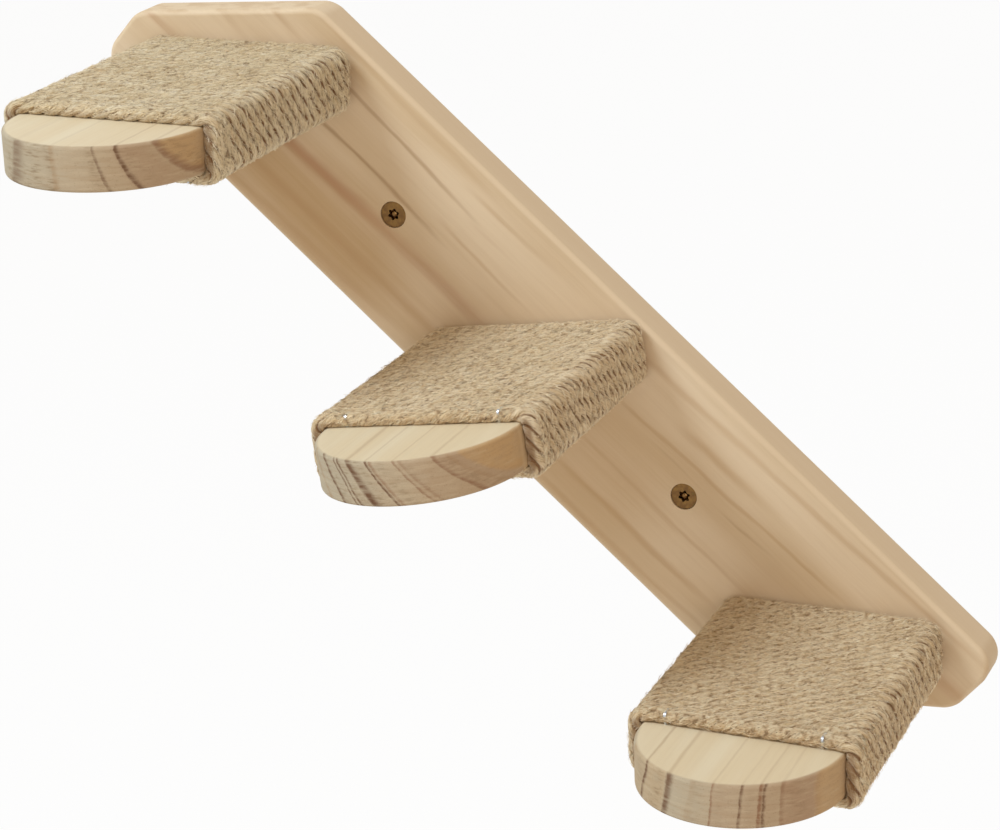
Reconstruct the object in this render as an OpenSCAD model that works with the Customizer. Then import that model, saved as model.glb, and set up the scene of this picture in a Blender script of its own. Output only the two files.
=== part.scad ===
// Cat ladder for a wall: a slanted pine board that carries three steps wound with jute rope.
// Millimetres. X points right and Z up. The wall is the plane y = 0 and the steps reach
// towards -Y. The origin lies in the wall plane, midway between the two wall screws.

/* [Board] */
// Length of the board along its slope, between the square-cut ends
board_len = 478; // [440:5:560]
// Width of the board
board_w = 95; // [90:1:110]
// Thickness of the board
board_t = 19; // [16:1:25]
// Slope of the board below the horizontal, in degrees
board_slope = 45; // [42:1:48]
// Height of the level cut at each end, above or below the middle of the board
end_cut = 157; // [152:1:164]
// Radius of the six corners, seen from the front
corner_r = 12; // [8:1:16]
// Radius of the rounded front edge
front_round = 2.5; // [1:0.5:4]
// Width of the small bevel round the back edge
back_bevel = 1; // [0.5:0.25:2]

/* [Steps] */
// Distance from one step to the next, along the slope
step_pitch = 180; // [170:1:190]
// Distance of the steps above the board's centre line, square to the slope
step_lift = 2.5; // [0:0.5:4]
// Turn of each step about its own length from top to bottom, in degrees, as put together by hand
step_turns = [3.2, -3.5, 3.1]; // [-4:0.1:4]
// Width of a step
step_w = 87.5; // [80:0.5:95]
// Thickness of a step
step_t = 19; // [17:1:25]
// Reach of a step from the face of the board to the tip of its round nose
step_reach = 175; // [165:1:190]
// Radius of the eased edges of a step
step_edge = 1.5; // [1:0.25:3]

/* [Rope] */
// Length of each step's wound stretch from the face of the board, from top to bottom
rope_spans = [133, 131.5, 132.5]; // [100:0.5:138]
// Width of the rope as it lies, pressed against its neighbours
rope_w = 5; // [4.5:0.05:6]
// Height of the rope as it lies
rope_h = 4.6; // [4:0.1:6]
// Least gap to leave between two turns
rope_gap = 0.75; // [0.7:0.05:1.2]
// Gap between the board and the first turn
rope_root_gap = 1; // [0.7:0.1:2]
// Distance by which the stiff rope stands off the sides of the step, where it bends over
rope_side_gap = 1.4; // [0:0.1:2]
// Length of the rope's two tails along the underside of the step
rope_tail = 18; // [14:1:25]
// Which steps are wound over the top from left to right, from top to bottom
rope_rightward = [true, false, true]; // [true, false]
// Further lean of the front turn over the width of the step, forwards the way it is wound
rope_leans = [0.4, 0.6, 2.2]; // [0:0.1:4]

/* [Wall screws] */
// Distance between the two wall screws, along the slope
wall_screw_gap = 180; // [160:5:200]
// Length of a wall screw
wall_screw_len = 60; // [50:5:80]
// Diameter of its head
wall_head_d = 12; // [10:0.5:13]
// Diameter of its smooth shank
wall_shank_d = 4.4; // [4:0.1:5]
// Diameter over its thread
wall_thread_d = 6; // [5:0.5:6]
// Diameter of its six-lobe drive
wall_drive_d = 5.6; // [5:0.1:6]
// Depth of the head below the face of the board
wall_head_sunk = 0.6; // [0:0.1:1]
// Distance from the wall plane to the start of the thread
wall_thread_start = 0.3; // [0.2:0.1:0.5]

/* [Step screws] */
// Distance between the two screws that hold a step from behind
step_screw_gap = 50; // [40:1:56]
// Length of a step screw
step_screw_len = 50; // [45:5:60]
// Diameter of its head
step_head_d = 8; // [7:0.5:9]
// Diameter of its smooth shank
step_shank_d = 2.9; // [2.5:0.1:3.2]
// Diameter over its thread
step_thread_d = 4; // [3.5:0.5:4.5]
// Diameter of its six-lobe drive
step_drive_d = 3.9; // [3.5:0.1:4]
// Depth of the head below the back of the board
step_head_sunk = 0.3; // [0.1:0.1:1]

/* [Staples] */
// Thickness of the flat staple wire
staple_t = 0.5; // [0.4:0.05:0.5]
// Width of the flat staple wire
staple_w = 1; // [0.8:0.05:1.3]
// Distance of the staples from the sides of the step
staple_inset = 10; // [9:1:14]
// Depth of the staple legs in the wood
staple_depth = 6; // [4:0.5:6]

/* [Fits] */
// Clearance of the rope and the staples from what they press on
lay_fit = 0.15; // [0.1:0.05:0.2]
// Clearance round a screw's head and thread in the wood
screw_fit = 0.15; // [0.1:0.05:0.25]
// Extra radius of the board's holes round the screw threads
hole_fit = 0.25; // [0.2:0.05:0.5]
// Extra depth of a screw's or staple's hole past its point
point_fit = 1; // [0.5:0.5:2]

/* [Hidden] */
$fn = 48;
levels = ["upper", "middle", "lower"];
sides = ["left", "right"];
ends = ["back", "front"];

// Depth of the straight rim under the top of a screw's head
head_rim = 0.5;
// Depth of the drive, as a share of its diameter
drive_depth = 0.5;
// Length of a screw's point, as a multiple of its thread's diameter
point_len = 1.2;
// Radius of the tip of a screw's point
tip_r = 0.3;
// Distance by which a cut runs past the face that it opens
cut_over = 1;

nose_r = step_w / 2;
staple_x = nose_r - staple_inset;
nose_y = board_t + step_reach - nose_r;

// Corners of the board in its own plane, as [along the slope, across it], drawn in by inset
function board_corners(inset) =
    let (
        half_len = board_len / 2 - inset,
        half_w = board_w / 2 - inset,
        cut = end_cut - inset,
        top = [
            [-half_len, -half_w],
            [-half_len, (cut - half_len * sin(board_slope)) / cos(board_slope)],
            [(half_w * cos(board_slope) - cut) / sin(board_slope), half_w],
        ]
    )
    concat(top, -top);

module on_slope() {
    rotate([0, board_slope, 0]) children();
}

// A step's own frame: x across the step, z up from the middle of its section, wall at y = 0
module at_step(i) {
    on_slope() translate([(i - 1) * step_pitch, 0, step_lift]) rotate([0, step_turns[i] - board_slope, 0])
        children();
}

// As at_step, turned over side to side where the rope is wound leftward
module at_winding(i) {
    at_step(i) mirror([rope_rightward[i] ? 0 : 1, 0, 0]) children();
}

// A countersunk wood screw with its head's top at z = 0 and its point towards +Z
module screw(head_d, shank_d, thread_d, drive_d, length, shank_len) {
    head_r = head_d / 2;
    shank_r = shank_d / 2;
    thread_r = thread_d / 2;
    difference() {
        rotate_extrude() polygon([
            [0, 0],
            [head_r, 0],
            [head_r, head_rim],
            [shank_r, head_rim + head_r - shank_r],
            [shank_r, shank_len],
            [thread_r, shank_len],
            [thread_r, length - point_len * thread_d],
            [tip_r, length],
            [0, length],
        ]);
        translate([0, 0, -cut_over]) six_lobe(drive_d, drive_depth * drive_d + cut_over);
    }
}

// The drive's socket: a round core with six round lobes
module six_lobe(d, depth) {
    lobe_r = 0.14 * d;
    cylinder(r = 0.37 * d, h = depth);
    for (a = [0:60:300]) {
        rotate([0, 0, a]) translate([d / 2 - lobe_r, 0, 0]) cylinder(r = lobe_r, h = depth);
    }
}

// The hole for such a screw: a countersink, then a clear hole through the board
module screw_hole(head_d, thread_d, sunk) {
    mouth_r = head_d / 2 + screw_fit;
    clear_r = thread_d / 2 + hole_fit;
    rotate_extrude() polygon([
        [0, -sunk - cut_over],
        [mouth_r, -sunk - cut_over],
        [mouth_r, head_rim],
        [clear_r, head_rim + mouth_r - clear_r],
        [clear_r, board_t + cut_over],
        [0, board_t + cut_over],
    ]);
}

// Places on the board: side -1 is the upper wall screw, side 1 the lower one
module at_wall_screw(side) {
    on_slope() translate([side * wall_screw_gap / 2, wall_head_sunk - board_t, 0]) rotate([-90, 0, 0])
        children();
}

module at_step_screw(i, side) {
    at_step(i) translate([side * step_screw_gap / 2, -step_head_sunk, 0]) rotate([90, 0, 0]) children();
}

module board_post() {
    rings = 4;
    rotate_extrude($fn = 32) polygon(concat(
        [[0, 0], [corner_r - back_bevel, 0], [corner_r, back_bevel]],
        [for (k = [0:rings]) let (a = 90 * k / rings) [
            corner_r - front_round + front_round * cos(a),
            board_t - front_round + front_round * sin(a)
        ]],
        [[0, board_t]]
    ));
}

module backboard() {
    color("#d9b98f") difference() {
        on_slope() hull() {
            for (c = board_corners(corner_r)) {
                translate([c[0], 0, c[1]]) rotate([90, 0, 0]) board_post();
            }
        }
        for (side = [-1, 1]) {
            at_wall_screw(side) screw_hole(wall_head_d, wall_thread_d, wall_head_sunk);
            for (i = [0:2]) {
                at_step_screw(i, side) screw_hole(step_head_d, step_thread_d, step_head_sunk);
            }
        }
    }
}

// The right half of a step's section, with its two outer edges eased
module half_section() {
    translate([0, -step_t / 2]) square([nose_r - step_edge, step_t]);
    translate([0, step_edge - step_t / 2]) square([nose_r, step_t - 2 * step_edge]);
    for (z = [-1, 1]) {
        translate([nose_r - step_edge, z * (step_t / 2 - step_edge)]) circle(r = step_edge);
    }
}

module step(i) {
    color("#e0c69c") difference() {
        at_step(i) {
            translate([0, -board_t, 0]) rotate([90, 0, 0]) linear_extrude(nose_y - board_t) {
                half_section();
                mirror([1, 0]) half_section();
            }
            translate([0, -nose_y, 0]) rotate([0, 0, 180]) rotate_extrude(angle = 180) half_section();
        }
        for (side = [-1, 1]) {
            at_step_screw(i, side) cylinder(
                r = step_thread_d / 2 + screw_fit,
                h = step_screw_len + point_fit
            );
        }
        at_winding(i) {
            for (x = [-staple_x, staple_x]) {
                top_staple(i, x, true);
            }
            for (end = [0, 1]) {
                tail_staple(i, end, true);
            }
        }
    }
}

// The rope runs round the step's section on a path with stations at its corners only:
// three on an upper corner and two on a lower one. The stations lie where the flat
// stretches between them touch the corner's arc, so that the rope stays off the wood.
// A station is [corner x, corner z, angle, stretch to the mitre].
corner_x = nose_r + rope_side_gap - step_edge;
corner_z = step_t / 2 - step_edge;
rope_in_r = step_edge + lay_fit;
rope_mid_r = rope_in_r + rope_h / 2;
upper_stations = 3;
lower_stations = 2;

function corner(x, z, start, count) = [
    for (k = [0:count - 1]) [x, z, start - 90 * (k + 0.5) / count, 1 / cos(45 / count)]
];
loop_stations = concat(
    corner(-corner_x, -corner_z, 270, lower_stations),
    corner(-corner_x, corner_z, 180, upper_stations),
    corner(corner_x, corner_z, 90, upper_stations),
    corner(corner_x, -corner_z, 0, lower_stations)
);
function station_mid(s) = [
    s[0] + rope_mid_r * s[3] * cos(s[2]),
    s[1] + rope_mid_r * s[3] * sin(s[2])
];
loop_mids = [for (s = loop_stations) station_mid(s)];
function path_to(i) = i == 0 ? 0 : path_to(i - 1) + norm(loop_mids[i] - loop_mids[i - 1]);
last_station = len(loop_stations) - 1;
over_len = path_to(last_station);
loop_len = over_len + norm(loop_mids[last_station] - loop_mids[0]);

// Turns that fit on the shortest stretch: full loops, then a part loop that ends with the
// second tail underneath. The other steps have as many, a little further apart.
part_loop = (over_len + 2 * rope_tail) / loop_len;
function span_free(span) = span - rope_root_gap - rope_w;
full_loops = floor(span_free(min(rope_spans)) / (rope_w + rope_gap) - part_loop);
rope_pitches = [for (span = rope_spans) span_free(span) / (full_loops + part_loop)];
rope_run = 2 * rope_tail + full_loops * loop_len + over_len;

// Distance in front of the wall of the rope's middle at a place x, at a length run from the
// rope's start. The lean grows from nothing at the board to its full value at the nose.
function rope_y(i, x, run) =
    board_t + rope_root_gap + rope_w / 2
    + rope_pitches[i] * run / loop_len
    + rope_leans[i] * run / rope_run * x / step_w;

tail_x = -loop_mids[0][0] - rope_tail;
start_station = [-tail_x, -corner_z, 270, 1];
end_station = [tail_x, -corner_z, 270, 1];
rope_stations = concat(
    [[start_station, 0]],
    [for (loop = [0:full_loops], k = [0:last_station])
        [loop_stations[k], rope_tail + loop * loop_len + path_to(k)]],
    [[end_station, rope_run]]
);

rope_sides = 6;
// A section of the rope, flat on the wood, with an edge towards each neighbour
function rope_ring(i, s, run) = [
    for (a = [0:360 / rope_sides:359])
        let (
            y = rope_y(i, station_mid(s)[0], run) + rope_w / 2 * cos(a),
            lift = rope_h / 2 * sin(a) / sin(60),
            r = (rope_mid_r + lift) * s[3]
        )
        [s[0] + r * cos(s[2]), -y, s[1] + r * sin(s[2])]
];

// Least distance between the points of one turn and those of the next
function turn_gap(rings) = min([
    for (k = [0:len(rings) - len(loop_stations) - 2], next = [-1:1])
        for (p = rings[k], q = rings[k + len(loop_stations) + next]) norm(p - q)
]);

module rope(i) {
    rings = [for (s = rope_stations) rope_ring(i, s[0], s[1])];
    echo(str("rope: ", full_loops + 1, " turns, pitch ", rope_pitches[i]));
    echo(str("least gap of the rope to itself: ", turn_gap(rings)));
    count = len(rings);
    n = rope_sides;
    sleeves = [
        for (k = [0:count - 2], j = [0:n - 1])
            let (a = k * n + j, b = k * n + (j + 1) % n)
            each [[a, b, a + n], [b, b + n, a + n]]
    ];
    start_cap = [for (j = [1:n - 2]) [0, j + 1, j]];
    last = (count - 1) * n;
    end_cap = [for (j = [1:n - 2]) [last, last + j, last + j + 1]];
    color("#b8935f") at_winding(i) polyhedron([for (r = rings) each r], concat(sleeves, start_cap, end_cap));
}

// Length of rope run to the place x on the top of a given loop
upper_left = lower_stations + upper_stations - 1;
function run_on_top(loop, x) =
    rope_tail + loop * loop_len + path_to(upper_left) + x - loop_mids[upper_left][0];

// A staple over the rope, from the gap behind a turn to the gap in front of it.
// As a cut it is only the two holes for its legs, wider by the fit.
module staple_shape(crown, middle_y, as_hole) {
    seat = step_t / 2 + lay_fit + rope_h;
    fit = as_hole ? lay_fit : 0;
    leg_end = step_t / 2 - staple_depth - (as_hole ? point_fit : 0);
    for (e = [-1, 1]) {
        translate([0, -middle_y + e * crown / 2, (leg_end + seat + lay_fit) / 2])
            cube([staple_w + 2 * fit, staple_t + 2 * fit, seat + lay_fit - leg_end], center = true);
    }
    if (!as_hole) {
        translate([0, -middle_y, seat + lay_fit + staple_t / 2])
            cube([staple_w, crown + staple_t, staple_t], center = true);
    }
}

// A staple on top holds the front turn
module top_staple(i, x, as_hole) {
    translate([x, 0, 0]) staple_shape(rope_pitches[i], rope_y(i, x, run_on_top(full_loops, x)), as_hole);
}

// A staple underneath holds a tail: end 0 at the board, end 1 at the nose
module tail_staple(i, end, as_hole) {
    run = end == 0 ? rope_tail / 2 : rope_run - rope_tail / 2;
    x = (end == 0 ? -1 : 1) * (tail_x + rope_tail / 2);
    translate([x, 0, 0]) mirror([0, 0, 1]) staple_shape(rope_pitches[i], rope_y(i, x, run), as_hole);
}

module staple(i, side) {
    color("#c4c6c8") at_winding(i) top_staple(i, (rope_rightward[i] ? side : -side) * staple_x, false);
}

module staple_underneath(i, end) {
    color("#c4c6c8") at_winding(i) tail_staple(i, end, false);
}

module wall_screw(side) {
    color("#8f7448") at_wall_screw(side) screw(
        wall_head_d, wall_shank_d, wall_thread_d, wall_drive_d, wall_screw_len,
        board_t - wall_head_sunk + wall_thread_start
    );
}

module step_screw(i, side) {
    color("#a08a55") at_step_screw(i, side) screw(
        step_head_d, step_shank_d, step_thread_d, step_drive_d, step_screw_len,
        board_t - step_head_sunk
    );
}

backboard();
wall_screw(-1);  // wall_screw_upper
wall_screw(1);  // wall_screw_lower
for (i = [0:2]) {
    step(i);
    rope(i);
    for (s = [0:1]) {
        step_screw(i, 2 * s - 1);
        staple(i, 2 * s - 1);
        staple_underneath(i, s);
    }
}
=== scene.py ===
# Cat ladder for a wall: a slanted pine board that carries three steps wound with jute rope.
import math
import random

import bmesh
import bpy
from bmesh.types import BMEdge, BMFace, BMVert
from mathutils import Euler, Matrix, Vector, noise


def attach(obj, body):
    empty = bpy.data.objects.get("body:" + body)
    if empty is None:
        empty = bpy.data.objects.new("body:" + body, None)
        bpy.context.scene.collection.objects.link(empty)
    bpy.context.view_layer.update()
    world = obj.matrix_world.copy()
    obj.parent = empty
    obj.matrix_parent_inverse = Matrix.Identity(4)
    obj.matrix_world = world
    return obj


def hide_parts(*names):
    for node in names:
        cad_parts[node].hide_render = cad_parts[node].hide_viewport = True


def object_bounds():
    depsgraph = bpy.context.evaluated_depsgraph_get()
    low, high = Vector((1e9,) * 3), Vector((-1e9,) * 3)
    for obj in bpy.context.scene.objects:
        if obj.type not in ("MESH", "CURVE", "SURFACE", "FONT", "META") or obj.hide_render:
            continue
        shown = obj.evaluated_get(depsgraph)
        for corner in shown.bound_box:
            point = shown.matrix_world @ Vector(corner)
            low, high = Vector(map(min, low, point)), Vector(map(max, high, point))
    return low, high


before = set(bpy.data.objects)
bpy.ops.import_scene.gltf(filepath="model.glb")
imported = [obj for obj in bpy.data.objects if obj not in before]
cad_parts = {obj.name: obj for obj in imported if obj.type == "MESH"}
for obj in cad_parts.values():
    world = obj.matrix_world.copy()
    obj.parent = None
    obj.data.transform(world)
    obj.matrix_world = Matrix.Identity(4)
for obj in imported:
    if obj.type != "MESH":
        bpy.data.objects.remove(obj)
cad_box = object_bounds()

# The camera stands to the right of the ladder and a little above it, as in the photograph.
# Its lens is long, so the three steps keep nearly the same size from top to bottom.
mm = 0.001
picture_w = 1000
picture_h = 830
focal_px = 3124
middle_px = Vector((494.1, 409.8))
camera_place = Vector((517.3, -1240.9, 404.6)) * mm
camera_heading = math.radians(23.88)
camera_dip = math.radians(17.88)
camera_roll = math.radians(-5.43)

camera = bpy.data.objects.new("camera", bpy.data.cameras.new("camera"))
bpy.context.scene.collection.objects.link(camera)
bpy.context.scene.camera = camera
camera.data.sensor_width = 36
camera.data.lens = focal_px / picture_w * camera.data.sensor_width
camera.data.shift_x = (picture_w / 2 - middle_px.x) / picture_w
camera.data.shift_y = (middle_px.y - picture_h / 2) / picture_w
aim = Euler((math.radians(90) - camera_dip, 0, camera_heading)).to_matrix()
aim = aim @ Matrix.Rotation(camera_roll, 3, "Z")
camera.matrix_world = Matrix.Translation(camera_place) @ aim.to_4x4()

# The backboard is a planed pine board, cut level at both ends so that it can slope on the wall.
# Its corners are rounded on a band sander, its front edge is routed round, and it is drilled
# and countersunk: from the front for the wall screws and from behind for the step screws.
board_len = 478 * mm
board_w = 95 * mm
board_t = 19 * mm
board_slope = math.radians(45)
level_cut = 157 * mm
corner_r = 12 * mm
corner_steps = 10
front_round = 2.5 * mm
back_bevel = 1 * mm
wall_screw_gap = 180 * mm
wall_head_d = 12 * mm
wall_thread_d = 6 * mm
wall_head_sunk = 0.6 * mm
step_pitch = 180 * mm
step_lift = 2.5 * mm
step_turns = {"upper": 3.2, "middle": -3.5, "lower": 3.1}
step_screw_gap = 50 * mm
step_head_d = 8 * mm
step_thread_d = 4 * mm
step_head_sunk = 0.3 * mm
head_rim = 0.5 * mm
mouth_clear = 0.15 * mm
hole_clear = 0.25 * mm
cutter_past = 2 * mm
hole_sides = 48
sharp_bend = math.radians(35)
tiny = 0.01 * mm
on_slope = Matrix.Rotation(board_slope, 4, "Y")


def at_wall_screw(side):
    """Place of a wall screw's head, with its point towards the wall. Side -1 is the upper one."""
    place = Matrix.Translation((side * wall_screw_gap / 2, wall_head_sunk - board_t, 0))
    return on_slope @ place @ Matrix.Rotation(math.radians(-90), 4, "X")


def at_step(level):
    """A step's own frame: X across it, Z up from the middle of its section, the wall at Y 0."""
    count = list(step_turns).index(level) - 1
    place = on_slope @ Matrix.Translation((count * step_pitch, 0, step_lift))
    return place @ Matrix.Rotation(math.radians(step_turns[level]) - board_slope, 4, "Y")


def at_step_screw(level, side):
    """Place of a step screw's head at the back of the board, with its point towards the nose."""
    place = Matrix.Translation((side * step_screw_gap / 2, -step_head_sunk, 0))
    return at_step(level) @ place @ Matrix.Rotation(math.radians(90), 4, "X")


def finish(name, shape, material, sharp=sharp_bend):
    """Turns a bmesh into a piece with its normals outwards and its hard edges sharp."""
    bmesh.ops.recalc_face_normals(shape, faces=shape.faces)
    mesh = bpy.data.meshes.new(name)
    shape.to_mesh(mesh)
    shape.free()
    mesh.shade_smooth()
    mesh.set_sharp_from_angle(angle=sharp)
    mesh.materials.append(material)
    piece = bpy.data.objects.new(name, mesh)
    bpy.context.scene.collection.objects.link(piece)
    return piece


def keep_flats(piece):
    """Shades the large flat faces flat, and the rounded edges between them round."""
    weighted = piece.modifiers.new("flats", "WEIGHTED_NORMAL")
    weighted.keep_sharp = True
    weighted.weight = 100


def only(kind, made):
    """The vertices, edges or faces among what an operator gives back."""
    return [item for item in made if isinstance(item, kind)]


def pull(shape, face, way):
    """Draws a face out along a way, and gives back the face at its new end."""
    made = bmesh.ops.extrude_face_region(shape, geom=[face])["geom"]
    bmesh.ops.translate(shape, verts=only(BMVert, made), vec=way)
    return only(BMFace, made)[0]


def round_edges(shape, edges, size, segments):
    bmesh.ops.bevel(
        shape, geom=edges, offset=size, offset_type="OFFSET", segments=segments, profile=0.5,
        affect="EDGES", material=-1, clamp_overlap=False,
    )


def lathe(shape, profile, steps):
    """Spins a profile of (radius, height) points about the Z axis."""
    points = [shape.verts.new((radius, 0, height)) for radius, height in profile]
    edges = [shape.edges.new(pair) for pair in zip(points, points[1:])]
    bmesh.ops.spin(
        shape, geom=points + edges, cent=(0, 0, 0), axis=(0, 0, 1), angle=math.tau, steps=steps,
        use_merge=True, use_duplicate=False,
    )
    bmesh.ops.remove_doubles(shape, verts=shape.verts, dist=tiny)


def drill(head_d, thread_d):
    """The cutter for one countersunk hole, with the head's top at height 0."""
    mouth_r = head_d / 2 + mouth_clear
    clear_r = thread_d / 2 + hole_clear
    shape = bmesh.new()
    lathe(shape, [
        (0, -cutter_past),
        (mouth_r, -cutter_past),
        (mouth_r, head_rim),
        (clear_r, head_rim + mouth_r - clear_r),
        (clear_r, board_t + cutter_past),
        (0, board_t + cutter_past),
    ], hole_sides)
    return shape


def cut_holes(piece, holes):
    """Cuts every hole, given as (place, cutter's bmesh), out of the piece's mesh."""
    cutters = bmesh.new()
    for place, shape in holes:
        bmesh.ops.transform(shape, matrix=place, verts=shape.verts)
        bmesh.ops.recalc_face_normals(shape, faces=shape.faces)
        one = bpy.data.meshes.new("hole")
        shape.to_mesh(one)
        shape.free()
        cutters.from_mesh(one)
        bpy.data.meshes.remove(one)
    mesh = bpy.data.meshes.new("holes")
    cutters.to_mesh(mesh)
    cutters.free()
    cutter = bpy.data.objects.new("holes", mesh)
    bpy.context.scene.collection.objects.link(cutter)
    boolean = piece.modifiers.new("holes", "BOOLEAN")
    boolean.object = cutter
    boolean.solver = "EXACT"
    evaluated = piece.evaluated_get(bpy.context.evaluated_depsgraph_get())
    cut = bpy.data.meshes.new_from_object(evaluated)
    piece.modifiers.clear()
    piece.data = cut
    bpy.data.objects.remove(cutter)
    cut.set_sharp_from_angle(angle=sharp_bend)


def srgb(red, green, blue):
    """A colour as it is seen on a screen, 0 to 255, in the shader's linear values."""
    def linear(part):
        part /= 255
        return part / 12.92 if part <= 0.04045 else ((part + 0.055) / 1.055) ** 2.4
    return (linear(red), linear(green), linear(blue), 1)


def add_node(tree, kind, *values, **settings):
    """Adds a shader node, and fills its inputs in order with links or plain values."""
    made = tree.nodes.new("ShaderNode" + kind)
    for name, value in settings.items():
        setattr(made, name, value)
    for socket, value in zip(made.inputs, values):
        if isinstance(value, bpy.types.NodeSocket):
            tree.links.new(value, socket)
        elif value is not None:
            socket.default_value = value
    return made


def calc(tree, operation, *values):
    return add_node(tree, "Math", *values, operation=operation).outputs[0]


def stretch(tree, vector, scale):
    return add_node(tree, "VectorMath", vector, scale, operation="MULTIPLY").outputs[0]


def cloud(tree, vector, detail=2, roughness=0.5):
    """Noise from 0 to 1, about one blotch for each unit of the vector."""
    made = add_node(tree, "TexNoise", vector)
    made.inputs["Scale"].default_value = 1
    made.inputs["Detail"].default_value = detail
    made.inputs["Roughness"].default_value = roughness
    return made.outputs[0]


def fade(tree, value, start, end, low=0, high=1):
    """Goes smoothly from low to high while the value goes from start to end."""
    return add_node(
        tree, "MapRange", value, start, end, low, high, interpolation_type="SMOOTHSTEP",
    ).outputs[0]


def tint(tree, amount, under, over):
    """Lays one colour over another by an amount from 0 to 1."""
    made = tree.nodes.new("ShaderNodeMix")
    made.data_type = "RGBA"
    sockets = (made.inputs[0], made.inputs[6], made.inputs[7])
    for socket, value in zip(sockets, (amount, under, over)):
        if isinstance(value, bpy.types.NodeSocket):
            tree.links.new(value, socket)
        else:
            socket.default_value = value
    return made.outputs[2]


def new_material(name, roughness, specular, metallic=0):
    material = bpy.data.materials.new(name)
    material.use_nodes = True
    shader = material.node_tree.nodes["Principled BSDF"]
    shader.inputs["Roughness"].default_value = roughness
    shader.inputs["Specular IOR Level"].default_value = specular
    shader.inputs["Metallic"].default_value = metallic
    return material, material.node_tree, shader


def in_millimetres(tree, place):
    """Object coordinates in a piece's own frame, in millimetres, as a vector and its three parts."""
    coordinates = add_node(tree, "TexCoord").outputs["Object"]
    mapping = add_node(tree, "Mapping", coordinates, vector_type="TEXTURE")
    mapping.inputs["Location"].default_value = place.translation
    mapping.inputs["Rotation"].default_value = place.to_euler()
    mapping.inputs["Scale"].default_value = (mm, mm, mm)
    parts = add_node(tree, "SeparateXYZ", mapping.outputs[0]).outputs
    return mapping.outputs[0], parts[0], parts[1], parts[2]


def fibres(tree, vector, along):
    """Fine wood fibres from 0 to 1, drawn out along one axis: 0 for X and 1 for Y."""
    fine = [2.2, 2.2, 2.2]
    fine[along] = 0.05
    coarse = [0.5, 0.5, 0.5]
    coarse[along] = 0.012
    hair = cloud(tree, stretch(tree, vector, fine), 3, 0.6)
    band = cloud(tree, stretch(tree, vector, coarse), 3, 0.55)
    return calc(tree, "MULTIPLY_ADD", hair, 0.5, calc(tree, "MULTIPLY", band, 0.5))


def raise_grain(tree, shader, height, distance):
    """Lets a height pattern stand out of the surface by a distance."""
    bump = add_node(tree, "Bump")
    bump.inputs["Strength"].default_value = 1
    bump.inputs["Distance"].default_value = distance
    tree.links.new(height, bump.inputs["Height"])
    tree.links.new(bump.outputs[0], shader.inputs["Normal"])


pine_pale = srgb(226, 203, 172)
pine_warm = srgb(215, 189, 154)
pine_shade_gold = srgb(190, 154, 106)
pine_tan = srgb(188, 151, 109)
pine_red = srgb(181, 135, 98)
pine_dark = srgb(160, 122, 84)

# Each streak of late wood or of painted shade: start and end along the board, its place
# across the board at both, its width, its strength and its colour.
board_streaks = [
    # The first four, wide and golden, are painted shade: the warm shade that the steps cast on the
    # board around them.
    (-190, -60, -28, -28, 52, 0.62, pine_shade_gold),
    (-55, 10, -30, -26, 34, 0.28, pine_shade_gold),
    (20, 95, -20, -20, 60, 0.45, pine_shade_gold),
    (185, 250, 10, 10, 60, 0.35, pine_shade_gold),
    (-160, -18, -10.5, -7.5, 7, 0.5, pine_red),
    (-160, -92, -10.5, -8.8, 6, 0.6, pine_red),
    (-165, -28, -29, -28.5, 6, 0.5, pine_tan),
    (-170, -60, -42, -40, 4.5, 0.4, pine_tan),
    (-150, -68, 9.5, 6.5, 1.8, 0.62, pine_dark),
    (-152, -60, 31, 26, 2, 0.5, pine_dark),
    (-195, -168, 32, 30.5, 3, 0.55, pine_tan),
    (-212, -188, 14.5, 13, 3, 0.4, pine_tan),
    (-239, -214, -13, -12, 4, 0.6, pine_red),
    (-172, -60, 46, 41, 3, 0.3, pine_tan),
    (-70, -12, 13.5, 12, 2, 0.42, pine_tan),
    (-68, -22, 35.5, 35, 2.4, 0.36, pine_tan),
    (-60, -34, 24, 24.5, 2, 0.25, pine_red),
    (34, 239, 36, 43, 3, 0.42, pine_tan),
    (72, 120, 24.5, 26, 4.5, 0.5, pine_tan),
    (40, 178, 13.5, 18.5, 1.8, 0.5, pine_tan),
    (70, 86, 9.5, 10, 1.2, 0.4, pine_dark),
    (112, 136, 8.5, 9, 1.4, 0.42, pine_dark),
    (38, 142, -13.5, -13.5, 2.4, 0.4, pine_tan),
    (36, 140, -31.5, -30, 3.4, 0.5, pine_tan),
    (36, 160, -43.5, -41, 2.4, 0.34, pine_tan),
    (205, 250, 22, 26, 7, 0.45, pine_red),
]


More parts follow.
